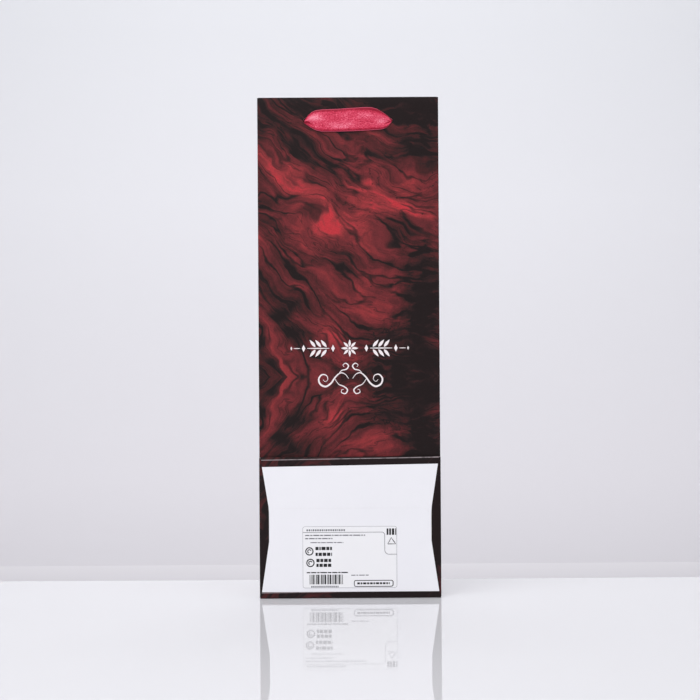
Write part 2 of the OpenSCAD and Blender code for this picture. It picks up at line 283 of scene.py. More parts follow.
def satin():
    m, nt = new_mat("satin_ribbon_weave")
    uv = uvmap(nt)
    s = node(nt, "ShaderNodeSeparateXYZ", {0: uv})
    a = M(nt, "MULTIPLY", s.outputs[0], 1000.0)      # along the ribbon, mm
    b = M(nt, "MULTIPLY", s.outputs[1], 1000.0)      # across, mm; the right half of a run starts at 100 along
    # floats of the satin weave: short raised threads along the length, staggered row by row
    row = M(nt, "FLOOR", M(nt, "MULTIPLY", b, 5.2))
    sh = M(nt, "MULTIPLY", M(nt, "FRACT", M(nt, "MULTIPLY", row, 0.4)), 1.0)
    along = M(nt, "FRACT", M(nt, "ADD", M(nt, "MULTIPLY", a, 1.15), sh))
    fl = M(nt, "MULTIPLY", M(nt, "SINE", M(nt, "MULTIPLY", along, math.pi)), M(nt, "ABSOLUTE", M(nt, "SINE", M(nt, "MULTIPLY", b, 5.2 * math.pi))))
    # spark: painted glints of the satin in the colour; it also grains the roughness and the bump
    spark = noise_tex(nt, xyz(nt, M(nt, "MULTIPLY", a, 0.8), M(nt, "MULTIPLY", b, 1.15)), 1.0, 5.0, 0.8)
    soft = noise_tex(nt, xyz(nt, M(nt, "MULTIPLY", a, 0.10), M(nt, "MULTIPLY", b, 0.22), 3.0), 1.0, 3.0, 0.5)
    f = M(nt, "ADD", M(nt, "MULTIPLY", M(nt, "SUBTRACT", spark, 0.5), 2.6), M(nt, "MULTIPLY", M(nt, "SUBTRACT", soft, 0.5), 0.7))
    f = M(nt, "ADD", M(nt, "ADD", f, 0.50), M(nt, "MULTIPLY", M(nt, "SUBTRACT", fl, 0.4), 0.16))
    # painted highlights where the satin turns towards the holes and along one side of the run, and painted shade in
    # three spots near its ends
    for ca, cb_, ra, rb, amp in ((9.0, 10.5, 6.0, 4.0, 0.42), (29.0, 4.6, 9.0, 3.2, 0.26), (109.0, 8.0, 4.2, 4.5, 0.24), (122.0, 11.0, 6.0, 3.0, 0.14), (132.0, 4.6, 6.0, 3.0, 0.18), (20.0, 12.5, 6.0, 3.0, -0.14), (3.5, 4.0, 2.6, 2.6, -0.55), (117.0, 15.4, 9.0, 1.6, -0.45)):
        q1 = M(nt, "POWER", M(nt, "ABSOLUTE", M(nt, "DIVIDE", M(nt, "SUBTRACT", a, ca), ra)), 2.0)
        q2 = M(nt, "POWER", M(nt, "ABSOLUTE", M(nt, "DIVIDE", M(nt, "SUBTRACT", b, cb_), rb)), 2.0)
        f = M(nt, "ADD", f, M(nt, "MULTIPLY", M(nt, "EXPONENT", M(nt, "MULTIPLY", M(nt, "ADD", q1, q2), -1.0)), amp))
    for a0, fall_, reach, amp in ((2.4, 0.66, 9.5, 0.95), (102.4, 0.60, 6.5, 0.95)):
        # the shade of the crease that runs out from each hole
        da = M(nt, "SUBTRACT", a, a0)
        line_b = M(nt, "SUBTRACT", 7.6, M(nt, "MULTIPLY", da, fall_))
        q3 = M(nt, "EXPONENT", M(nt, "MULTIPLY", M(nt, "POWER", M(nt, "ABSOLUTE", M(nt, "DIVIDE", M(nt, "SUBTRACT", b, line_b), 0.85)), 2.0), -1.0))
        on = M(nt, "MULTIPLY", M(nt, "GREATER_THAN", da, -2.4), remap(nt, da, 0.0, reach, 1.0, 0.0))
        f = M(nt, "SUBTRACT", f, M(nt, "MULTIPLY", M(nt, "MULTIPLY", q3, on), amp))
    # painted shade: the colour darkens towards both edges of the ribbon, where they roll back
    f = M(nt, "SUBTRACT", f, M(nt, "MULTIPLY", remap(nt, M(nt, "ABSOLUTE", M(nt, "SUBTRACT", b, 8.5)), 6.0, 8.1), 0.5), clamp=True)
    col = ramp(nt, f, ((0.0, "8e0f29"), (0.28, "bc2441"), (0.52, "d83c5a"), (0.78, "ec6580"), (1.0, "fb97ab")))
    edge = M(nt, "ABSOLUTE", M(nt, "SUBTRACT", b, 8.5))
    selvedge_and_highlight = remap(nt, edge, 8.05, 8.2)                  # woven selvedge, painted paler: partly its own colour, partly a painted highlight along both edges
    col = mix(nt, M(nt, "MULTIPLY", selvedge_and_highlight, 0.55), col, lin("f0708c"))
    r = M(nt, "ADD", M(nt, "MULTIPLY", spark, 0.22), 0.26)
    hgt = M(nt, "ADD", fl, M(nt, "MULTIPLY", spark, 0.8))
    finish_mat(nt, col, r, bump(nt, hgt, 0.00006, 0.7), spec=0.55, sheen=0.35, sheen_rough=0.35, aniso=0.45, tint=lin("ff9db2"), sheen_tint=lin("ff8aa4"))
    return m


def ink(name, hexcol, rough=0.5):
    m, nt = new_mat(name)
    c = node(nt, "ShaderNodeTexCoord").outputs["Object"]
    a = noise_tex(nt, c, 900.0, 3.0, 0.6)
    b = noise_tex(nt, c, 90.0, 3.0, 0.6)
    k = M(nt, "ADD", M(nt, "ADD", M(nt, "MULTIPLY", M(nt, "SUBTRACT", a, 0.5), 0.10), M(nt, "MULTIPLY", M(nt, "SUBTRACT", b, 0.5), 0.10)), 1.0)
    col = mix(nt, 1.0, lin(hexcol), node(nt, "ShaderNodeCombineColor", {0: k, 1: k, 2: k}).outputs[0], "MULTIPLY")
    finish_mat(nt, col, M(nt, "ADD", M(nt, "MULTIPLY", a, 0.2), rough - 0.1), bump(nt, a, 0.00001, 0.5), spec=0.3)
    return m


MARBLE = marble()
WHITE_IN = paper("paper_inside", "eceaea", 0.05, 0.72, 0.18, 0.00006)
WHITE_OUT = paper("paper_coated_white", "f5f5fa", 0.018, 0.42, 0.35, 0.00002, 0.08)
CORE = paper("paper_cut_edge", "e4dcdc", 0.10, 0.85, 0.1, 0.00008)
CARD = paper("card_grey_back", "cfc8ba", 0.10, 0.85, 0.15, 0.0001)
BOARD = paper("base_board_grey", "b3ada4", 0.16, 0.9, 0.12, 0.00014)
LABEL = paper("label_paper_satin", "f7f7fa", 0.015, 0.38, 0.35, 0.00001, 0.1)
SATIN = satin()
INK_GREY = ink("label_ink_grey", "6d6d75")
INK_PALE = ink("label_ink_pale", "a8a8b0")
INK_DARK = ink("label_ink_dark", "1d1d21")
INK_WHITE = ink("ornament_ink_white", "f6eef0", 0.42)


# ------------------------------------------------------------------ thin sheets
def warp(x, z):
    """The paper's gentle waves, the same in every layer, none where it folds."""
    k = np.clip((z - 104.0) / 60.0, 0, 1)
    k = k * k * (3 - 2 * k)
    e = np.clip((65.0 - np.abs(x)) / 14.0, 0, 1)
    m_ = np.clip((np.abs(np.abs(x) - MID) - 0.8) / 11.0, 0, 1)      # and none at the creases of the sides
    e = e * m_ * m_ * (3 - 2 * m_)
    return k * e * (0.16 * np.sin(x / 21.0 + 0.7 + z / 95.0) + 0.13 * np.sin(z / 34.0 + x / 60.0 + 1.1) + 0.06 * np.sin(x / 9.5 - z / 27.0) + 0.05 * np.sin(z / 11.0 + x / 15.0))


def inside(q, poly):
    x, y = q[:, 0], q[:, 1]
    c = np.zeros(len(q), bool)
    n = len(poly)
    for i in range(n):
        (x1, y1), (x2, y2) = poly[i], poly[(i + 1) % n]
        if y1 == y2:
            continue
        hit = ((y1 > y) != (y2 > y)) & (x < (x2 - x1) * (y - y1) / (y2 - y1) + x1)
        c ^= hit
    return c


def near(q, loops):
    best = np.full(len(q), 1e9)
    for lp in loops:
        a = np.array(lp)
        b = np.roll(a, -1, 0)
        for (p1, p2) in zip(a, b):
            d = p2 - p1
            t = np.clip(((q - p1) @ d) / max(d @ d, 1e-12), 0, 1)
            best = np.minimum(best, np.linalg.norm(q - p1 - t[:, None] * d, axis=1))
    return best


def resample(poly, step):
    out = []
    for i, a in enumerate(poly):
        b = poly[(i + 1) % len(poly)]
        L = math.dist(a, b)
        k = max(1, round(L / step))
        out += [(a[0] + (b[0] - a[0]) * j / k, a[1] + (b[1] - a[1]) * j / k) for j in range(k)]
    return out


def link(me, name, smooth=True):
    o = bpy.data.objects.new(name, me)
    scene.collection.objects.link(o)
    if smooth:
        me.polygons.foreach_set("use_smooth", [True] * len(me.polygons))
    me.update()
    return o


def sheet(name, outline, place, uvf, front, back, t=T, step=5.0, xs=None, zs=None, holes=(), cut=None, rim=None, front2=None, back2=None):
    """A closed sheet of thickness t. outline is in the flat pattern (a, b); place maps pattern points to mm.
    cut is (test, front2, back2): a test on triangle centres that gives a second pair of materials."""
    circles = [[(cx + r * math.cos(2 * math.pi * i / 28), cy + r * math.sin(2 * math.pi * i / 28)) for i in range(28)] for cx, cy, r in holes]
    o = np.array(outline)
    lo, hi = o.min(0), o.max(0)
    if xs is None:
        xs = np.linspace(lo[0], hi[0], max(2, int((hi[0] - lo[0]) / step)) + 1)
    if zs is None:
        zs = np.linspace(lo[1], hi[1], max(2, int((hi[1] - lo[1]) / step)) + 1)
    xs, zs = np.sort(np.array(xs, float)), np.sort(np.array(zs, float))

    def to_grid(pts):
        """Pattern to grid space, where every row and column is one unit apart."""
        q = np.array(pts, float)
        out = []
        for k, g_ in ((0, xs), (1, zs)):
            i = np.interp(q[:, k], g_, np.arange(len(g_)))
            i += np.minimum(q[:, k] - g_[0], 0) / (g_[1] - g_[0]) + np.maximum(q[:, k] - g_[-1], 0) / (g_[-1] - g_[-2])
            out.append(i)
        return np.stack(out, 1)

    def from_grid(q):
        out = []
        for k, g_ in ((0, xs), (1, zs)):
            n_ = len(g_) - 1
            v_ = np.interp(q[:, k], np.arange(len(g_)), g_)
            v_ += np.minimum(q[:, k], 0) * (g_[1] - g_[0]) + np.maximum(q[:, k] - n_, 0) * (g_[-1] - g_[-2])
            out.append(v_)
        return np.stack(out, 1)
    pattern_outline = outline
    outline = [tuple(v_) for v_ in to_grid(resample(outline, step))]
    loops = [resample(outline, 1.0)] + [[tuple(v_) for v_ in to_grid(c_)] for c_ in circles]
    g = np.array([(i, j) for j in range(len(zs)) for i in range(len(xs))], float)
    ok = inside(g, outline)
    for lp in loops[1:]:
        ok &= ~inside(g, lp)
    g = g[ok]
    g = g[near(g, loops) > 0.35]
    vs, es = [], []
    for lp in loops:
        k = len(vs)
        vs += lp
        es += [(k + i, k + (i + 1) % len(lp)) for i in range(len(lp))]
    for seg in (cut or {}).get("lines", ()):
        k = len(vs)
        n = max(2, int(math.dist(*seg) / step))
        vs += [tuple(v_) for v_ in to_grid([(seg[0][0] + (seg[1][0] - seg[0][0]) * i / n, seg[0][1] + (seg[1][1] - seg[0][1]) * i / n) for i in range(n + 1)])]
        es += [(k + i, k + i + 1) for i in range(n)]
    vs += [tuple(p) for p in g]
    ov, _, of = geometry.delaunay_2d_cdt([Vector(v) for v in vs], es, [], 0, 1e-5)[:3]
    q = np.array([tuple(v)[:2] for v in ov])
    tri = np.array([f for f in of if len(f) == 3])
    c = q[tri].mean(1)
    keep = inside(c, outline)
    for lp in loops[1:]:
        keep &= ~inside(c, lp)
    tri = tri[keep]
    q = from_grid(q)
    # slivers that the slanted edges leave spoil the shading
    u_, w_ = q[tri[:, 1]] - q[tri[:, 0]], q[tri[:, 2]] - q[tri[:, 0]]
    tri = tri[u_[:, 0] * w_[:, 1] - u_[:, 1] * w_[:, 0] > 2e-3]
    c = q[tri].mean(1)
    used = np.unique(tri)
    idx = -np.ones(len(q), int)
    idx[used] = np.arange(len(used))
    q, tri = q[used], idx[tri]
    e = 0.01
    p = np.array(place(q[:, 0], q[:, 1])).T
    pa = (np.array(place(q[:, 0] + e, q[:, 1])) - np.array(place(q[:, 0] - e, q[:, 1]))).T
    pb = (np.array(place(q[:, 0], q[:, 1] + e)) - np.array(place(q[:, 0], q[:, 1] - e))).T
    n = np.cross(pa, pb)
    n /= np.linalg.norm(n, axis=1)[:, None]
    n_v = len(q)
    verts = np.vstack([p + n * t / 2, p - n * t / 2]) * MM
    edges = {}
    for f in tri:
        for i in range(3):
            a, b = int(f[i]), int(f[(i + 1) % 3])
            edges[(a, b)] = 1
    rimq = [(b, a, a + n_v, b + n_v) for (a, b) in edges if (b, a) not in edges]
    faces = [tuple(map(int, f)) for f in tri] + [(int(f[0]) + n_v, int(f[2]) + n_v, int(f[1]) + n_v) for f in tri] + rimq
    me = bpy.data.meshes.new(name)
    me.from_pydata(verts.tolist(), [], faces)
    mats = [front, back, rim or CORE]
    second = np.zeros(len(tri), bool)
    if cut:
        second = cut["test"](c[:, 0], c[:, 1])
        mats += [cut["front"], cut["back"]]
    for mt in mats:
        me.materials.append(mt)
    mi = np.concatenate([np.where(second, 3, 0), np.where(second, 4, 1), np.full(len(rimq), 2)]) if cut else np.concatenate([np.zeros(len(tri)), np.ones(len(tri)), np.full(len(rimq), 2)])
    me.polygons.foreach_set("material_index", mi.astype(int).tolist())
    uv = me.uv_layers.new(name="print")
    vi = np.zeros(len(me.loops), int)
    me.loops.foreach_get("vertex_index", vi)
    uu, vv = uvf(q[:, 0], q[:, 1])
    uvs = np.stack([uu * np.ones(n_v), vv * np.ones(n_v)], 1) * MM
    uv.data.foreach_set("uv", uvs[vi % n_v].astype(np.float32).ravel())
    ob = link(me, name)
    # the rim is a sharp corner
    sharp = {tuple(sorted(x)) for (b, a, a2, b2) in rimq for x in ((a, b), (a2, b2))}
    at = me.attributes.get("sharp_edge") or me.attributes.new("sharp_edge", "BOOLEAN", "EDGE")
    at.data.foreach_set("value", [tuple(sorted(ed.vertices)) in sharp for ed in me.edges])
    return ob


def flat(y):
    return lambda x, z: (x, y + warp(x, z), z)


def with_hem(y, sgn, off):
    """A panel whose top is turned in: up the panel, over a small round, and down the hem."""
    r = off / 2
    b0 = H - r - T / 2

    def f(x, b):
        ph = np.clip((b - b0) / r, 0, math.pi)
        down = np.maximum(b - b0 - math.pi * r, 0)
        z = np.minimum(b, b0) + r * np.sin(ph) - down
        return x, y + sgn * (r - r * np.cos(ph)) + warp(x, z), z
    return f, b0, math.pi * r


def rows(a, b0, arc, down, step=5.0):
    up = list(np.linspace(a, b0, int((b0 - a) / step) + 1))
    mid = list(b0 + arc * np.linspace(0, 1, 9)[1:])
    dn = list(np.linspace(b0 + arc, b0 + arc + down, 8)[1:])
    return np.array(up + mid + dn)


def rect(x0, x1, z0, z1):
    return [(x0, z0), (x1, z0), (x1, z1), (x0, z1)]


def mirrored(pts, s):
    return [(-x, z) for x, z in reversed(pts)] if s < 0 else pts


side_name = {-1: "left", 1: "right"}
U_FRONT = lambda x, z: (x, z)
U_BACK = lambda x, z: (230.0 - x, z)


def put(ob, body, slot, *nodes):
    if body:
        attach(ob, body)
    if nodes:
        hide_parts(*nodes)
    return ob


# back wall: panel, turned top and hem in one sheet
off_wall = T / 2 + 0.1 + 0.35 + 0.1
f, b0, arc = with_hem(Y0, -1, off_wall)
top = b0 + arc
hole_b = top + (b0 - HZ)
ol = [(-EX, 0), (EX, 0), (EX, b0), (EX - 0.2, top), (EX - 0.6, top + 3), (EX - 0.6, top + HEM - 2), (-EX + 0.6, top + HEM - 2), (-EX + 0.6, top + 3), (-EX + 0.2, top), (-EX, b0)]
o = sheet("back_wall", ol, f, U_BACK, WHITE_IN, MARBLE, zs=rows(0, b0, arc, HEM - 2), holes=[(-HX, HZ, HR), (HX, HZ, HR), (-HX, hole_b, HR), (HX, hole_b, HR)], rim=MARBLE)
put(o, "back", "printed_paper", "back_panel", "back_hem")
yc = Y0 - (T / 2 + 0.05 + 0.175)
o = sheet("back_stiffener", rect(-HW + 3, HW - 3, H - HEM + 4, H - 1.6), flat(yc), U_BACK, CARD, CARD, t=0.34, holes=[(-HX, HZ, HR + .2), (HX, HZ, HR + .2)], rim=CARD)
put(o, "back", "top_card", "back_top_card")
o = sheet("glued_lap", [(-HW + 0.3, 22), (-HW + 15, 36), (-HW + 15, H - HEM - 6), (-HW + 0.3, H - HEM - 2)], flat(Y0 - (T / 2 + 0.05 + 0.1)), U_BACK, WHITE_IN, WHITE_IN, t=0.2)
put(o, "back", "white_paper", "glue_lap")

# front wall
YF = Y0 - D_FRONT
f, b0, arc = with_hem(YF, 1, off_wall)
ol = [(x, max(z, CZ)) for x, z in ol]
o = sheet("front_wall", ol, f, U_FRONT, MARBLE, WHITE_IN, zs=rows(CZ, b0, arc, HEM - 2), holes=[(-HX, HZ, HR), (HX, HZ, HR), (-HX, hole_b, HR), (HX, hole_b, HR)], rim=MARBLE)
put(o, "front", "printed_paper", "front_panel", "front_panel_lower", "front_hem")
yc = YF + (T / 2 + 0.05 + 0.175)
o = sheet("front_stiffener", rect(-HW + 3, HW - 3, H - HEM + 4, H - 1.6), flat(yc), U_FRONT, CARD, CARD, t=0.34, holes=[(-HX, HZ, HR + .2), (HX, HZ, HR + .2)], rim=CARD)
put(o, "front", "top_card", "front_top_card")

# gussets: the printed sides of the two halves face each other while the bag is flat
for s in (-1, 1):
    nm = side_name[s]
    yr, yf = Y0 - P, Y0 - 2 * P
    offg = 0.25
    f, b0, arc = with_hem(yr, 1, offg)
    tp = b0 + arc
    pts = mirrored([(MID, CZ + 0.6), (EX, 0.4), (EX, b0), (EX - 0.6, tp), (EX - 0.6, tp + HEM - 1), (MID + 1, tp + HEM - 1), (MID + 1, tp), (MID, b0)], s)
    ur = (lambda x, z: (100.0 + x, z)) if s > 0 else (lambda x, z: (-100.0 + x, z))
    uf = (lambda x, z: (130.0 - x, z)) if s > 0 else (lambda x, z: (-130.0 - x, z))
    o = sheet(nm + "_rear_half_gusset", pts, f, ur, MARBLE, WHITE_IN, zs=rows(0.4, b0, arc, HEM - 1), xs=np.linspace(s * MID, s * EX, 11), rim=MARBLE)
    put(o, nm + "_rear_gusset", "printed_paper", nm + "_rear_gusset", nm + "_rear_gusset_hem")
    f, b0, arc = with_hem(yf, -1, offg)
    pts = mirrored([(MID, CZ), (EX, CZ), (EX, b0), (EX - 0.6, tp), (EX - 0.6, tp + HEM - 1), (MID + 1, tp + HEM - 1), (MID + 1, tp), (MID, b0)], s)
    o = sheet(nm + "_front_half_gusset", pts, f, uf, WHITE_IN, MARBLE, zs=rows(CZ, b0, arc, HEM - 1), xs=np.linspace(s * MID, s * EX, 11), rim=MARBLE)
    put(o, nm + "_front_gusset", "printed_paper", nm + "_front_gusset", nm + "_front_gusset_lower", nm + "_front_gusset_hem")

    # creases: half rounds between the layers
    r = P / 2
    L = math.pi * r
    arc_x = np.linspace(0, L, 13)

    def round_crease(cx, cy, way, first):
        """From the layer behind (a = 0) to the layer in front (a = L), bulging to x * way."""
        def g(a, z):
            th = np.clip(a / r, 0, math.pi)
            x = cx + way * r * np.sin(th)
            return x, cy + r * np.cos(th) + warp(np.full_like(x, cx), z), z
        return g
    zs = np.concatenate([np.linspace(0, 350, 71), [353, 356, 359.7]])
    hem_cut = {"lines": [((-1, H - HEM), (L + 1, H - HEM))], "test": (lambda a, z: z > H - HEM), "front": MARBLE, "back": MARBLE}
    out_left = s < 0
    # rear edge, back panel to rear gusset
    g = round_crease(s * EX, Y0 - r, s, 0)
    A, B = (MARBLE, WHITE_IN) if s < 0 else (WHITE_IN, MARBLE)
    o = sheet(nm + "_rear_crease", rect(0, L, 0.4, H - 0.3), g, (lambda a, z: (165.0 + L - a, z)) if s > 0 else (lambda a, z: (-165.0 - L + a, z)), A, B, xs=arc_x, zs=zs, rim=MARBLE, cut=hem_cut)
    put(o, None, "printed_paper")
    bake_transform(o)
    # middle crease
    g = round_crease(s * MID, Y0 - P - r, -s, 0)
    A, B = (MARBLE, WHITE_IN) if s < 0 else (WHITE_IN, MARBLE)
    o = sheet(nm + "_middle_crease", rect(0, L, CZ + 0.9, H - 0.3), g, (lambda a, z: (115.0, z)) if s > 0 else (lambda a, z: (-115.0, z)), A, B, xs=arc_x, zs=zs, rim=MARBLE, cut=hem_cut)
    put(o, None, "printed_paper")
    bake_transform(o)
    # front edge, front gusset to front panel
    g = round_crease(s * EX, Y0 - 2 * P - r, s, 0)
    A, B = (MARBLE, WHITE_IN) if s < 0 else (WHITE_IN, MARBLE)
    uvc = (lambda a, z: (65.0 + L - a, z)) if s > 0 else (lambda a, z: (-65.0 - L + a, z))
    if s < 0:
        o = sheet(nm + "_front_crease", rect(0, L, CZ, H - 0.3), g, uvc, A, B, xs=arc_x, zs=zs, rim=MARBLE, cut=hem_cut)
        put(o, None, "printed_paper")
        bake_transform(o)
    else:
        # no joint holds this edge, so each side carries its half of the round and they meet on the hinge line
        o = sheet(nm + "_front_crease_rear", rect(0, L / 2, CZ, H - 0.3), g, uvc, A, B, xs=np.linspace(0, L / 2, 7), zs=zs, rim=MARBLE, cut=hem_cut)
        put(o, nm + "_front_gusset", "printed_paper")
        o = sheet(nm + "_front_crease_fore", rect(L / 2, L, CZ, H - 0.3), g, uvc, A, B, xs=np.linspace(L / 2, L, 7), zs=zs, rim=MARBLE, cut=hem_cut)
        put(o, "front", "printed_paper")

    # corner triangles of the folded base
    o = sheet(nm + "_front_corner", mirrored([(MID + 0.3, CZ), (HW, CZ), (HW, BASE - 0.6)], s), flat(Y0 - D_TRI),
              (lambda x, z: (130.0 - x, 2 * CZ - z)) if s > 0 else (lambda x, z: (-130.0 - x, 2 * CZ - z)), MARBLE, WHITE_IN, rim=MARBLE)
    put(o, nm + "_front_triangle", "printed_paper", nm + "_front_triangle")
    o = sheet(nm + "_base_corner", mirrored([(HW - 0.2, 0.6), (HW - 0.2, BASE - 0.6), (MID + 0.35, CZ)], s), flat(Y0 - D_BT),
              (lambda x, z: (65.0 + BASE - z, 65.0 - x)) if s > 0 else (lambda x, z: (-65.0 - BASE + z, x + 65.0)), WHITE_IN, MARBLE, rim=MARBLE)
    put(o, nm + "_base_triangle", "printed_paper", nm + "_base_triangle")

    # side flap of the base, with the round of its fold
    rs = (D_SIDE + T / 2 - D_BT) / 2
    ys = Y0 - D_SIDE - T / 2

    def side_place(x, z, s=s, rs=rs, ys=ys):
        over = np.maximum(s * x - HS, 0) / rs
        return s * (np.minimum(s * x, HS) + rs * np.sin(over)), ys + rs * (1 - np.cos(over)), z
    e = HS + math.pi * rs
    xs = s * np.concatenate([np.linspace(HW - 42, HS, 9), HS + math.pi * rs * np.linspace(0, 1, 9)[1:]])
    o = sheet("base_" + nm + "_flap", mirrored([(e, 0.7), (e, BASE - 0.6), (HW - 1.0, BASE - 0.6), (HW - 42, BASE - 22), (HW - 42, 22), (HW - 1.0, 0.7)], s), side_place,
              (lambda x, z: (65.0 + BASE - z, -44.0 + (x - 65.0))) if s > 0 else (lambda x, z: (-65.0 - BASE + z, -44.0 - (x + 65.0))), WHITE_OUT, WHITE_IN, xs=xs,
              cut={"lines": [((s * (HW - 9.5), 12.9), (s * (HW - 9.5), BASE - 12.9))], "test": (lambda x, z, s=s: s * x > HW - 9.5), "front": MARBLE, "back": WHITE_IN})
    put(o, "bottom", "printed_paper", "bottom_%s_flap" % nm)

# the strip of the front wall that is folded up behind the base; its ends turn round the side edges
def strip_place(x, z):
    over = np.clip((np.abs(x) - EX) / 0.7, 0, math.pi / 2)
    return np.sign(x) * (np.minimum(np.abs(x), EX) + 0.7 * np.sin(over)), Y0 - D_STRIP - 0.7 * (1 - np.cos(over)) + 0 * z, z
e = EX + 0.7 * math.pi / 2
xs = np.concatenate([-EX - 1.0995 * np.linspace(1, 0, 6), np.linspace(-EX, EX, 27)[1:-1], EX + 1.0995 * np.linspace(0, 1, 6)])
o = sheet("front_fold_strip", rect(-e, e, CZ, BASE - 0.2), strip_place, lambda x, z: (x, 2 * CZ - z), WHITE_IN, MARBLE, xs=xs, rim=MARBLE)
put(o, "front_strip", "printed_paper", "front_base_strip")

# base flaps, white with a printed edge at each fold
YO, YI = Y0 - D_OUTER - T / 2, Y0 - D_INNER - T / 2


def lift(y, z_free, up, reach):
    """A flap whose free edge stands a little off the sheet under it."""
    def f(x, z):
        k = np.clip(1 - np.abs(z - z_free) / reach, 0, 1) ** 2
        return x, y - k * up * (0.6 + 0.4 * np.sin(x / 17.0 + 1.0)), z
    return f


ol = [(-HW + 0.2, 0.5), (HW - 0.2, 0.5), (HW - 1.4, 4.7), (HW - 6.9, 42), (HW - 6.9, 58), (HW - 8.3, 61.5), (HW - 12, 64.5), (-HW + 12, 64.5), (-HW + 8.3, 61.5), (-HW + 6.9, 58), (-HW + 6.9, 42), (-HW + 1.4, 4.7)]
o = sheet("base_outer_flap", ol, lift(YO, 64.5, 0.16, 16.0), lambda x, z: (x * 1.0, -46.0 + z), WHITE_OUT, WHITE_IN,
          cut={"lines": [((-HW - 1, 4.7), (HW + 1, 4.7))], "test": lambda x, z: z < 4.7, "front": MARBLE, "back": WHITE_IN})
put(o, "bottom", "white_paper", "bottom_outer_flap")
# the inner flap rises to the front edge of the base and turns over into the strip
RY = (D_INNER + T / 2 - D_STRIP) / 2


def inner_place(x, z):
    over = np.clip((z - (BASE - 0.55)) / 1.25, 0, 1) * math.pi
    return x, YI + RY * (1 - np.cos(over)), np.minimum(z, BASE - 0.55) + 0.5 * np.sin(over)
zt = BASE - 0.55 + 1.25
ol = [(-HW + 0.2, zt), (-HW + 0.2, BASE - 0.3), (-HW + 1.9, 94.0), (-HW + 6.4, 66), (-HW + 6.7, 62), (-HW + 6.7, 36), (HW - 6.7, 36), (HW - 6.7, 62), (HW - 6.4, 66), (HW - 1.9, 95.8), (HW - 0.2, BASE - 0.3), (HW - 0.2, zt)]
zs = np.concatenate([np.linspace(36, BASE - 0.55, 14), BASE - 0.55 + 1.25 * np.linspace(0, 1, 10)[1:]])
o = sheet("base_inner_flap", ol, inner_place, lambda x, z: (x, -40.0 + z - (BASE - 0.15)), WHITE_OUT, WHITE_IN, zs=zs,
          cut={"lines": [((-HW - 1, 94.4), (HW + 1, 96.2))], "test": lambda x, z: z > 95.3 + x * 1.8 / 132.0, "front": MARBLE, "back": WHITE_IN})
put(o, "bottom", "white_paper", "bottom_inner_flap")
o = sheet("base_board", rect(-HW + 1.6, HW - 1.6, 2.2, BASE - 2.2), lambda x, z: (x, Y0 - D_BOARD - 0.35 + 0 * x, z), U_FRONT, BOARD, BOARD, t=0.68, rim=BOARD)
put(o, "bottom", "base_board", "bottom_board")


# the band that the folded bag stands on
def band_place(x, b):
    r = 0.42
    th = np.clip(b / r, 0, math.pi / 2)
    run = np.maximum(b - r * math.pi / 2, 0)
    return x, YO + r * (1 - np.cos(th)) + run, 0.12 + r - r * np.sin(th)
bl = 0.42 * math.pi / 2 + (Y0 - T / 2 - 0.04 - YO - 0.42)
o = sheet("base_fold_band", rect(-HW + 0.2, HW - 0.2, 0, bl), band_place, lambda x, b: (x * 1.0, -46.0 - b), WHITE_IN, MARBLE, t=0.18,
          zs=np.concatenate([0.66 * np.linspace(0, 1, 6), np.linspace(0.66, bl, 5)[1:]]))
put(o, "bottom", "printed_paper", "bottom_base_fold")

# ------------------------------------------------------------------ label, its marks and the ornament: thin ink solids
def left_shift(x):
    """The label sits a little left of the middle."""
    return x - 0.85 * min(max((33.3 - x) / 3.0, 0.0), 1.0)


def prisms(name, polys, y, t, mat, warped):
    """Each polygon (x, z), counterclockwise from the front, becomes a solid that stands t off the face at y."""
    verts, faces = [], []
    for poly in polys:
        n = len(poly)
        k = len(verts)
        for dy in (-t, 0.0):
            for x, z in poly:
                w = float(warp(np.array(x), np.array(z))) if warped else 0.0
                verts.append(((x if warped else left_shift(x)) * MM, (y + dy + w) * MM, z * MM))
        faces.append(tuple(range(k, k + n)))
        faces.append(tuple(range(k + 2 * n - 1, k + n - 1, -1)))
        faces += [(k + (i + 1) % n, k + i, k + n + i, k + n + (i + 1) % n) for i in range(n)]
    me = bpy.data.meshes.new(name)
    me.from_pydata(verts, [], faces)
    me.materials.append(mat)
    return link(me, name, smooth=False)


def box_poly(x0, z0, x1, z1):
    return [(x0, z0), (x1, z0), (x1, z1), (x0, z1)]


def stroke(pts, widths):
    """The outline of a flat stroke along a line of points, half the width to each side of every point."""
    q = np.array(pts, float)
    d = np.gradient(q, axis=0)
    d /= np.linalg.norm(d, axis=1)[:, None]
    n = np.stack([-d[:, 1], d[:, 0]], 1) * (np.array(widths)[:, None] / 2)
    a, b = q + n, q - n
    return [tuple(map(tuple, b)) + tuple(map(tuple, a[::-1]))]


def ccw(poly):
    s = sum(poly[i][0] * poly[(i + 1) % len(poly)][1] - poly[(i + 1) % len(poly)][0] * poly[i][1] for i in range(len(poly)))
    return poly if s > 0 else poly[::-1]


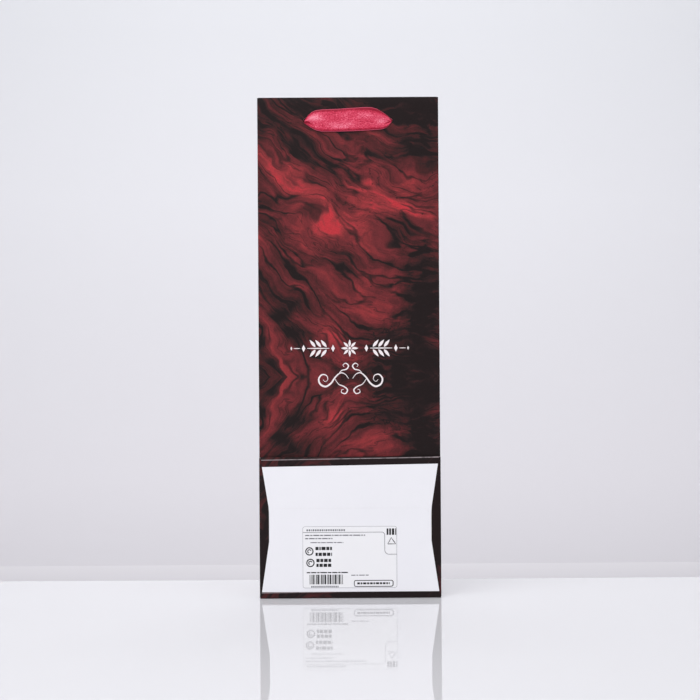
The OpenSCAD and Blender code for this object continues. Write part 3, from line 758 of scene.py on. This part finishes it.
def strokes_mesh(name, lines, y, t, mat, warped):
    """Each line is (points, widths): a flat tapering stroke, as one closed solid."""
    verts, faces = [], []
    for pts, widths in lines:
        q = np.array(pts, float)
        d = np.gradient(q, axis=0)
        d /= np.linalg.norm(d, axis=1)[:, None]
        n = np.stack([-d[:, 1], d[:, 0]], 1) * (np.array(widths)[:, None] / 2)
        k, m = len(verts), len(q)
        for dy in (-t, 0.0):
            for side in (q - n, q + n):
                for x, z in side:
                    w = float(warp(np.array(x), np.array(z))) if warped else 0.0
                    verts.append(((x if warped else left_shift(x)) * MM, (y + dy + w) * MM, z * MM))
        R, L_, r2, l2 = k, k + m, k + 2 * m, k + 3 * m     # right and left edge, front; the same, behind
        for i in range(m - 1):
            faces.append((R + i, R + i + 1, L_ + i + 1, L_ + i))
            faces.append((l2 + i, l2 + i + 1, r2 + i + 1, r2 + i))
            faces.append((R + i + 1, R + i, r2 + i, r2 + i + 1))
            faces.append((L_ + i, L_ + i + 1, l2 + i + 1, l2 + i))
        faces.append((L_, l2, r2, R))
        faces.append((R + m - 1, r2 + m - 1, l2 + m - 1, L_ + m - 1))
    me = bpy.data.meshes.new(name)
    me.from_pydata(verts, [], faces)
    me.materials.append(mat)
    return link(me, name, smooth=False)


def arc_pts(cx, cz, r, a0, a1, n):
    return [(cx + r * math.cos(math.radians(a0 + (a1 - a0) * i / n)), cz + r * math.sin(math.radians(a0 + (a1 - a0) * i / n))) for i in range(n + 1)]


YL = Y0 - D_LABEL - 0.1         # face of the label
rr = 1.6
lab = arc_pts(33.8 - rr, 7 + rr, rr, -90, 0, 6) + arc_pts(33.8 - rr, 52 - rr, rr, 0, 90, 6) + arc_pts(-33.8 + rr, 52 - rr, rr, 90, 180, 6) + arc_pts(-33.8 + rr, 7 + rr, rr, 180, 270, 6)
o = sheet("base_label", [(left_shift(x_), z_) for x_, z_ in lab], lambda x, z: (x, Y0 - D_LABEL - 0.05 + 0 * x, z), U_FRONT, LABEL, LABEL, t=0.1, rim=LABEL)
put(o, "bottom", "label_paper", "bottom_label")
ring = lambda pts, w: (pts + [pts[0], pts[1]], [w] * (len(pts) + 2))
in_lab = [(x * 0.985, 29.5 + (z - 29.5) * 0.978) for x, z in lab]
lines = [ring(in_lab, 0.28)]
lines += [([(-33.3, 47.3), (0, 47.3), (23.5, 47.3)] + arc_pts(23.5, 45.3, 2.0, 90, 0, 6)[1:] + [(25.5, 40), (25.5, 34.4)] + arc_pts(28.5, 34.4, 3.0, 180, 270, 6)[1:] + [(31, 31.4), (33.3, 31.4)], [0.25] * 19)]
frame_line, header = lines[:1], lines[1:]
o = strokes_mesh("label_frame", frame_line, YL, 0.02, INK_PALE, False)
put(o, "bottom", "label_paper")
o = strokes_mesh("label_header", [(p, [0.36] * len(w_)) for p, w_ in header], YL, 0.022, INK_GREY, False)
put(o, "bottom", "label_paper")


def dashes(x0, x1, z, h, words):
    """A row of generic marks: short bars of uneven length, no letters."""
    out, x, i = [], x0, 0
    while x < x1 - 0.3:
        w = words[i % len(words)]
        out.append(box_poly(x, z - h / 2, min(x + w, x1), z + h / 2))
        x += w + 0.55
        i += 1
    return out


grey, dark = [], []
for (x0, x1, z, h, ws) in ((-31.6, 11.5, 45.2, 0.75, (3.1, 1.6, 4.4, 2.2, 5.2, 1.2)), (-31.6, -12.0, 42.9, 0.75, (2.2, 4.1, 1.4)), (-27.8, -4.2, 40.0, 0.6, (4.6, 2.0, 3.3)),
                           (1.4, 13.8, 16.5, 0.6, (3.0, 1.4, 4.2)), (-30.6, -2.6, 48.9, 1.3, (1.1, 1.1, 0.6, 1.1, 1.1, 1.1)), (-27.4, -7.9, 8.4, 1.2, (0.9, 0.9, 0.9))):
    grey += dashes(x0, x1, z, h, ws)
for (x0, x1, z, h, ws) in ((-24.2, -12.4, 35.8, 2.3, (2.2, 1.0, 2.9, 2.2)), (-24.2, -12.4, 31.6, 2.3, (1.6, 2.4, 2.6, 2.4)), (-23.6, -12.4, 27.2, 2.3, (2.3, 2.1, 2.6, 1.9)),
                           (-23.6, -12.4, 23.7, 2.3, (1.6, 2.4, 2.6, 2.4)), (-30.6, -1.1, 18.5, 0.8, (2.6, 3.8, 1.7, 4.8)), (26.9, 33.0, 47.6, 4.6, (1.3, 1.3, 1.3)), (5.6, 28.9, 10.6, 1.4, (1.9, 1.2, 2.3, 1.6))):
    dark += dashes(x0, x1, z, h, ws)
bars, x = [], -28.5
for i, w in enumerate((0.5, 0.4, 0.9, 0.4, 0.6, 1.2, 0.4, 1.0, 0.5, 1.2, 0.4, 0.7, 1.1, 0.4, 0.6, 1.2, 0.4, 0.9, 0.5, 0.4, 1.0, 0.5, 0.6)):
    if x + w > -3.4:
        break
    bars.append(box_poly(x, 10.1, x + w, 17.0))
    x += w + (0.42 if i % 3 else 0.72)
o = prisms("label_rows", grey, YL, 0.02, INK_GREY, False)
put(o, "bottom", "label_paper")
o = prisms("label_bars", bars + dark, YL, 0.02, INK_DARK, False)
put(o, "bottom", "label_paper")
badge = arc_pts(29.9, 11.5, 1.2, 0, 90, 5) + arc_pts(4.7, 11.5, 1.2, 90, 180, 5) + arc_pts(4.7, 9.6, 1.2, 180, 270, 5) + arc_pts(29.9, 9.6, 1.2, 270, 360, 5)
tri_ = [(27.7, 38.8), (30.2, 38.8), (32.7, 38.8), (31.45, 41.05), (30.2, 43.3), (28.95, 41.05)]
marks = [ring(badge, 0.55), ring(tri_, 0.5)]
for cx, cz in ((-28.6, 33.8), (-27.9, 25.5)):
    marks += [ring(arc_pts(cx, cz, 2.6, 0, 352, 22), 0.8), (arc_pts(cx, cz, 1.2, 20, 250, 12), [0.7] * 13)]
o = strokes_mesh("label_emblems", marks, YL, 0.024, INK_DARK, False)
put(o, "bottom", "label_paper")

# ornament on the front wall: a row of leaves, lozenges and a rosette, and a looped flourish below it
YFO = YF - T / 2 - 0.005


def leaf(cx, cz, length, width, ang, n=14):
    pts = []
    for sgn in (1, -1):
        for i in range(n):
            t = i / n
            w = width / 2 * math.sin(math.pi * t) ** 0.8 * (1.15 - 0.5 * t)
            a = length * (t - 0.5)
            pts.append((a, -sgn * w) if sgn > 0 else (length * (0.5 - t), width / 2 * math.sin(math.pi * (1 - t)) ** 0.8 * (1.15 - 0.5 * (1 - t))))
    c, s_ = math.cos(math.radians(ang)), math.sin(math.radians(ang))
    q = [(cx + x * c - z * s_, cz + x * s_ + z * c) for x, z in pts]
    out = [q[0]]
    for p in q[1:]:
        if math.dist(p, out[-1]) > 1e-3:
            out.append(p)
    return ccw(out)


def lozenge(cx, cz, w, h):
    return [(cx - w / 2, cz), (cx, cz - h / 2), (cx + w / 2, cz), (cx, cz + h / 2)]


ZC = 179.4
polys = []
for i in range(8):
    a = i * 45
    polys.append(leaf(0.4 + 3.7 * math.cos(math.radians(a)), ZC + 3.7 * math.sin(math.radians(a)), 5.0, 1.9, a))
polys.append([(0.4 + 0.95 * math.cos(k * math.pi / 8), ZC + 0.95 * math.sin(k * math.pi / 8)) for k in range(16)])
lines = []
for sd in (-1, 1):
    polys += [ccw(lozenge(0.4 + sd * 12.0, ZC, 2.6, 5.2)), ccw(lozenge(0.4 + sd * 33.2, ZC, 2.6, 5.2)), ccw(lozenge(0.4 + sd * 42.0, ZC, 1.4, 2.8))]
    for k, (cx, up) in enumerate(((17.5, 1), (21.5, 1), (25.5, 1))):
        for v_ in (1, -1):
            ang = (52 if sd > 0 else 128) * v_
            polys.append(leaf(0.4 + sd * (cx + 1.2), ZC + v_ * 3.5, 6.6, 2.3, ang))
    st = [(0.4 + sd * x, ZC) for x in np.linspace(14.6, 30.6, 14)]
    lines.append((st, list(0.35 + 0.45 * np.sin(np.linspace(0, math.pi, 14)))))
    lines.append(([(0.4 + sd * x, ZC) for x in np.linspace(35.6, 40.4, 6)], [0.3, 0.45, 0.55, 0.55, 0.45, 0.3]))
o = prisms("front_ornament_row", polys, YFO, 0.03, INK_WHITE, True)
put(o, "front", "printed_paper")



def spline(pts, k=9):
    """A smooth line through the points."""
    q = np.array([pts[0]] + list(pts) + [pts[-1]], float)
    out = []
    for i in range(1, len(q) - 2):
        for t in np.linspace(0, 1, k, endpoint=False):
            out.append(0.5 * (2 * q[i] + (q[i + 1] - q[i - 1]) * t + (2 * q[i - 1] - 5 * q[i] + 4 * q[i + 1] - q[i + 2]) * t ** 2 + (3 * q[i] - q[i - 1] - 3 * q[i + 1] + q[i + 2]) * t ** 3))
    return np.array(out + [q[-2]])


# two mirrored scrolls that meet in the middle, each with two curled tendrils
for sd in (-1, 1):
    for pts, wmax in (([(1.4, 157.6), (4, 160.8), (7.4, 161.6), (11, 158.6), (14.2, 154.2), (18, 151.9), (21.8, 153.6), (22.9, 157.4), (20.6, 160.4), (17.4, 159.9), (16.4, 157.1), (18.2, 155.4), (19.8, 156.9)], 1.25),
                      ([(8.6, 161.0), (6.4, 163.4), (2.9, 164.4), (1.5, 166.8), (3.4, 168.6), (5.4, 167.4), (4.6, 166.0)], 0.9),
                      ([(11.6, 157.8), (8.6, 153.6), (4.7, 151.8), (2.3, 149.4), (3.8, 146.8), (6.6, 147.6), (6.3, 149.6), (5.0, 149.7)], 0.9)):
        q = spline(pts)
        kk = np.linspace(0, 1, len(q))
        wd = 0.34 + (wmax - 0.34) * np.sin(math.pi * np.clip(kk * 1.15, 0, 1)) ** 1.2
        lines.append(([(0.9 + sd * x, z) for x, z in q], list(wd)))
o = strokes_mesh("front_ornament_flourish", lines, YFO, 0.028, INK_WHITE, True)
put(o, "front", "printed_paper")

# ------------------------------------------------------------------ ribbons
TOP = np.array([(-31.2, 344.5), (-30.4, 346.2), (-28.5, 348.6), (-26, 350.8), (-23, 352.2), (-18, 352.7), (-8, 353.0), (4, 353.7), (12, 354.2), (17, 354.1), (21, 353.0), (25, 350.6), (28.5, 348.2), (30.3, 346.4), (31.2, 344.6)])
BOT = np.array([(-31.2, 343.6), (-30.4, 342.4), (-28.5, 341.0), (-26, 339.4), (-23, 337.8), (-19, 336.9), (-8, 336.8), (4, 337.0), (14, 337.5), (21, 337.9), (25, 338.3), (28, 339.6), (30.0, 341.4), (30.9, 342.8), (31.2, 343.8)])


def ribbon_half(name, side, face, nodes=()):
    yb = (YF - T / 2) if face > 0 else (Y0 + T / 2)
    outw = -face
    n_in, n_x, n_t = 6, 46, 40
    xs_ = 31.2 * (1 - (np.linspace(0, 1, n_x)) ** 1.6) * side     # dense at the hole
    t_ = np.linspace(-1, 1, n_t + 1)
    P3, UV = [], []
    ln = 100.0 if side > 0 else 0.0
    # inside the hole first
    for i in range(n_in):
        k = i / n_in
        y_in = 1.0 * (1 - k)            # how deep inside the wall's outer face
        xx = side * (29.6 + 1.5 * k ** 2)
        hw_ = 0.75 + 0.15 * k
        zc = 342.3
        rowp = []
        for t in t_:
            ple = 0.55 * math.sin(t * 7.5 + 0.6 * side)
            rowp.append((xx + side * ple * (1 - 0.5 * k) * 0.9, yb + outw * (0.25 * k - y_in), zc + hw_ * t))
        P3.append(rowp)
        UV.append([(ln, 8.5 + 8.5 * t) for t in t_])
        ln += 0.4
    for i, x in enumerate(xs_):
        zt = float(np.interp(x, TOP[:, 0], TOP[:, 1]))
        zb = float(np.interp(x, BOT[:, 0], BOT[:, 1]))
        zc, hw_ = (zt + zb) / 2 - 1.6, (zt - zb) / 2
        ax = abs(x) / 31.2
        rise = 0.30 + 1.35 * math.sin(math.pi / 2 * (1 - ax) ** 0.55) ** 0.9 if ax < 1 else 0.30
        endk = ax ** 5
        rowp = []
        for t in t_:
            h = rise + 0.34 * (1 - t * t) * (1 - endk) - 0.42 * max(0.0, (abs(t) - 0.80) / 0.20) ** 2 * (1 - 0.6 * endk)
            # pleats that run out from the hole
            h += 0.42 * ax ** 3.2 * math.sin(t * 5.6 + (0.9 if side < 0 else -0.5))
            # one deep crease on each end
            if side < 0:
                tc = -0.10 - 0.62 * (1 - ax) / 0.26
                dep = 0.85 * np.clip(1 - (1 - ax) / 0.30, 0, 1) ** 0.8
            else:
                tc = -0.12 - 0.35 * (1 - ax) / 0.16
                dep = 1.0 * np.clip(1 - (1 - ax) / 0.17, 0, 1) ** 0.7
            h -= dep * math.exp(-((t - tc) / 0.13) ** 2)
            # soft dents along the run
            h += 0.07 * math.sin(x * 0.42 + 1.3 * t) + 0.05 * math.sin(x * 0.9 - 2.2 * t + 1)
            # selvedge bead
            h += 0.10 * math.exp(-((abs(t) - 0.965) / 0.028) ** 2)
            rowp.append((x, yb + outw * max(h, 0.12), zc + hw_ * t))
        P3.append(rowp)
        UV.append([(ln, 8.5 + 8.5 * t) for t in t_])
        if i + 1 < n_x:
            ln += abs(xs_[i + 1] - x)
    A = np.array(P3)
    du = np.gradient(A, axis=0)
    dv = np.gradient(A, axis=1)
    n = np.cross(du, dv)
    n /= np.maximum(np.linalg.norm(n, axis=2), 1e-9)[..., None]
    # make the normal point away from the wall
    if (n[len(P3) // 2 + 8, n_t // 2, 1]) * outw < 0:
        n = -n
        turned = True
    else:
        turned = False
    th = 0.16
    back = A - n * th
    R, C = A.shape[:2]
    verts = np.vstack([A.reshape(-1, 3), back.reshape(-1, 3)]) * MM
    N = R * C
    faces = []
    for i in range(R - 1):
        for j in range(C - 1):
            a, b, c, d = i * C + j, (i + 1) * C + j, (i + 1) * C + j + 1, i * C + j + 1
            q = (a, b, c, d) if not turned else (d, c, b, a)
            faces.append(q)
            faces.append(tuple(N + v for v in reversed(q)))
    rim = [i * C for i in range(R)] + [(R - 1) * C + j for j in range(1, C)] + [i * C + C - 1 for i in range(R - 2, -1, -1)] + [j for j in range(C - 2, 0, -1)]
    for i in range(len(rim)):
        a, b = rim[i], rim[(i + 1) % len(rim)]
        q = (b, a, a + N, b + N)
        faces.append(q if not turned else tuple(reversed(q)))
    me = bpy.data.meshes.new(name)
    me.from_pydata(verts.tolist(), [], faces)
    me.materials.append(SATIN)
    uvl = me.uv_layers.new(name="print")
    uvv = np.array(UV).reshape(-1, 2) * MM
    vi = np.zeros(len(me.loops), int)
    me.loops.foreach_get("vertex_index", vi)
    uvl.data.foreach_set("uv", uvv[vi % N].astype(np.float32).ravel())
    o = link(me, name)
    rs_ = {tuple(sorted((rim[i] + k, rim[(i + 1) % len(rim)] + k))) for i in range(len(rim)) for k in (0, N)}
    at = me.attributes.get("sharp_edge") or me.attributes.new("sharp_edge", "BOOLEAN", "EDGE")
    at.data.foreach_set("value", [tuple(sorted(ed.vertices)) in rs_ for ed in me.edges])
    return o


def tail(name, face):
    """The length of ribbon drawn inside, gathered narrow, one on each side, down to its knot."""
    yc = (Y0 - D_FRONT + 0.92) if face > 0 else (Y0 - 0.92)
    verts, faces, uvs = [], [], []
    for sd in (-1, 1):
        R, C = 60, 21
        k = len(verts)
        for layer in (0, 1):
            for i in range(R):
                u = i / (R - 1)
                z = 345.0 - 96.0 * u
                hwid = 2.1 + 6.0 * math.sin(min(1, u * 5) * math.pi / 2) - 3.6 * max(0, (u - 0.84) / 0.16)
                for j in range(C):
                    t = -1 + 2 * j / (C - 1)
                    y = yc + 0.10 * math.sin(t * 8.5 + 2 * math.sin(u * 5)) * (1 - 0.3 * u) + (0.05 if layer else -0.05)
                    x = sd * HX + hwid * t + 0.5 * math.sin(u * 7 + sd)
                    verts.append((x * MM, y * MM, z * MM))
                    uvs.append((96.0 * u * MM, (8.5 + 8.5 * t) * MM))
        N = R * C
        for i in range(R - 1):
            for j in range(C - 1):
                a, b, c, d = k + i * C + j, k + (i + 1) * C + j, k + (i + 1) * C + j + 1, k + i * C + j + 1
                faces.append((a, b, c, d))
                faces.append((d + N, c + N, b + N, a + N))
        rim = [i * C for i in range(R)] + [(R - 1) * C + j for j in range(1, C)] + [i * C + C - 1 for i in range(R - 2, -1, -1)] + [j for j in range(C - 2, 0, -1)]
        for i in range(len(rim)):
            a, b = k + rim[i], k + rim[(i + 1) % len(rim)]
            faces.append((b, a, a + N, b + N))
    me = bpy.data.meshes.new(name)
    me.from_pydata(verts, [], faces)
    me.materials.append(SATIN)
    uvl = me.uv_layers.new(name="print")
    vi = np.zeros(len(me.loops), int)
    me.loops.foreach_get("vertex_index", vi)
    uvl.data.foreach_set("uv", np.array(uvs)[vi].astype(np.float32).ravel())
    return link(me, name)


def knot(name, face):
    """Two overhand knots pressed flat, each with its cut end below."""
    yc = (Y0 - D_FRONT + 0.70) if face > 0 else (Y0 - 0.70)
    verts, faces, uvs = [], [], []
    for sd in (-1, 1):
        R, C = 150, 12
        k = len(verts)
        cz = HZ - 93 - 6.5
        tt = np.linspace(0, 2 * math.pi, R, endpoint=False)
        c = np.stack([sd * HX + 1.55 * (np.sin(tt) + 2 * np.sin(2 * tt)), yc - 0.20 * np.sin(3 * tt), cz + 1.55 * (np.cos(tt) - 2 * np.cos(2 * tt))], 1)
        d = np.roll(c, -1, 0) - np.roll(c, 1, 0)
        d /= np.linalg.norm(d, axis=1)[:, None]
        w = np.cross(d, np.array([0, 1.0, 0]))
        w /= np.linalg.norm(w, axis=1)[:, None]
        for i in range(R):
            for j in range(C):
                a = 2 * math.pi * j / C
                p = c[i] + w[i] * 1.75 * math.cos(a) + np.array([0, 1.0, 0]) * 0.24 * math.sin(a)
                verts.append(tuple(p * MM))
                uvs.append((i * 0.25 * MM, (8.5 + 8.5 * math.cos(a)) * MM))
        for i in range(R):
            for j in range(C):
                i2, j2 = (i + 1) % R, (j + 1) % C
                faces.append((k + i * C + j, k + i * C + j2, k + i2 * C + j2, k + i2 * C + j))
        # the cut end
        R, C = 16, 11
        k = len(verts)
        for layer in (0, 1):
            for i in range(R):
                u = i / (R - 1)
                for j in range(C):
                    t = -1 + 2 * j / (C - 1)
                    x = sd * HX + (2.6 + 2.6 * u) * t + 1.0 * u
                    z = cz - 3.0 - 17.5 * u - 2.2 * u * t
                    y = yc + 0.14 * math.sin(3 * t + u * 4) + (0.08 if layer else -0.08)
                    verts.append((x * MM, y * MM, z * MM))
                    uvs.append((20 * u * MM, (8.5 + 8.5 * t) * MM))
        N = R * C
        for i in range(R - 1):
            for j in range(C - 1):
                a, b, c_, d_ = k + i * C + j, k + (i + 1) * C + j, k + (i + 1) * C + j + 1, k + i * C + j + 1
                faces.append((a, b, c_, d_))
                faces.append((d_ + N, c_ + N, b + N, a + N))
        rim = [i * C for i in range(R)] + [(R - 1) * C + j for j in range(1, C)] + [i * C + C - 1 for i in range(R - 2, -1, -1)] + [j for j in range(C - 2, 0, -1)]
        for i in range(len(rim)):
            a, b = k + rim[i], k + rim[(i + 1) % len(rim)]
            faces.append((b, a, a + N, b + N))
    me = bpy.data.meshes.new(name)
    me.from_pydata(verts, [], faces)
    me.materials.append(SATIN)
    uvl = me.uv_layers.new(name="print")
    vi = np.zeros(len(me.loops), int)
    me.loops.foreach_get("vertex_index", vi)
    uvl.data.foreach_set("uv", np.array(uvs)[vi].astype(np.float32).ravel())
    return link(me, name)


for wall, face in (("front", 1), ("back", -1)):
    for sd in (-1, 1):
        o = ribbon_half("%s_handle_%s_half" % (wall, side_name[sd]), sd, face)
        put(o, None, "satin_ribbon")
        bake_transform(o)
    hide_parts(wall + "_ribbon")
    o = tail(wall + "_handle_inside_run", face)
    put(o, wall, "satin_ribbon", wall + "_ribbon_tails")
    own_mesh(o)
    o = knot(wall + "_handle_knots", face)
    put(o, wall + "_handle", "satin_ribbon", wall + "_ribbon_knots")

# ------------------------------------------------------------------ stage: a glossy pale table whose far side falls away, and a plain wall
def stage_mesh(name, prof, xw, mat, nx=2):
    verts, faces = [], []
    for y, z in prof:
        verts += [(-xw, y, z), (xw, y, z)]
    for i in range(len(prof) - 1):
        a = 2 * i
        faces.append((a, a + 1, a + 3, a + 2))
    me = bpy.data.meshes.new(name)
    me.from_pydata(verts, [], faces)
    me.materials.append(mat)
    ob = link(me, name, smooth=False)
    return ob


m, nt = new_mat("table_gloss")
c = node(nt, "ShaderNodeTexCoord").outputs["Object"]
k = M(nt, "ADD", M(nt, "MULTIPLY", noise_tex(nt, c, 3.0, 2.0), 0.02), 0.99)
col = mix(nt, 1.0, lin("ebebef"), node(nt, "ShaderNodeCombineColor", {0: k, 1: k, 2: k}).outputs[0], "MULTIPLY")
finish_mat(nt, col, 0.03, None, spec=0.25)
stage_mesh("table_floor", [(-3.0, 0), (0.093, 0), (0.096, -0.0012), (1.6, -0.34), (2.4, -0.40)], 3.0, m)
m, nt = new_mat("wall_with_painted_shadow")
c = node(nt, "ShaderNodeTexCoord").outputs["Object"]
z = node(nt, "ShaderNodeSeparateXYZ", {0: c}).outputs[2]
# painted shadow: a darker band at the foot of the wall, just behind the table's far edge; the colour also turns
# slightly darker towards the top
wall_col_painted_shadow = ramp(nt, remap(nt, z, -0.36, 1.2, 0.0, 1.0, smooth=False), ((0.0, "d4d2d7"), (0.04, "e3e1e5"), (0.16, "e6e4e8"), (0.35, "e4e3e7"), (0.56, "e3e3e7"), (0.80, "dbdce0"), (1.0, "d9dade")))
finish_mat(nt, wall_col_painted_shadow, 0.9, None, spec=0.1)
stage_mesh("wall", [(2.4, -0.40), (2.46, -0.37), (2.5, -0.30), (2.5, 3.0)], 4.0, m)

w = bpy.data.worlds.new("world")
scene.world = w
w.use_nodes = True
w.node_tree.nodes["Background"].inputs[0].default_value = (0.975, 0.975, 1.0, 1)
w.node_tree.nodes["Background"].inputs[1].default_value = 0.58


def area(name, loc, target, size, power, colour=(1, 1, 1)):
    li = bpy.data.lights.new(name, "AREA")
    li.shape, li.size, li.energy, li.color = "DISK", size, power, colour
    ob = bpy.data.objects.new(name, li)
    scene.collection.objects.link(ob)
    ob.location = loc
    ob.rotation_euler = (Vector(target) - Vector(loc)).to_track_quat("-Z", "Y").to_euler()
    return ob


area("key", (-0.9, -1.5, 1.6), (0, 0, 0.2), 2.2, 29.0, (1.0, 0.99, 0.985))
area("top", (0.2, -0.5, 2.3), (0, -0.25, 0), 2.0, 4.0)
area("back_fill", (0.6, 1.6, 1.6), (0, 0, 0.18), 1.2, 3.0)
area("wall_wash", (0, 1.0, 1.9), (0, 2.5, 0.6), 1.6, 19.0)
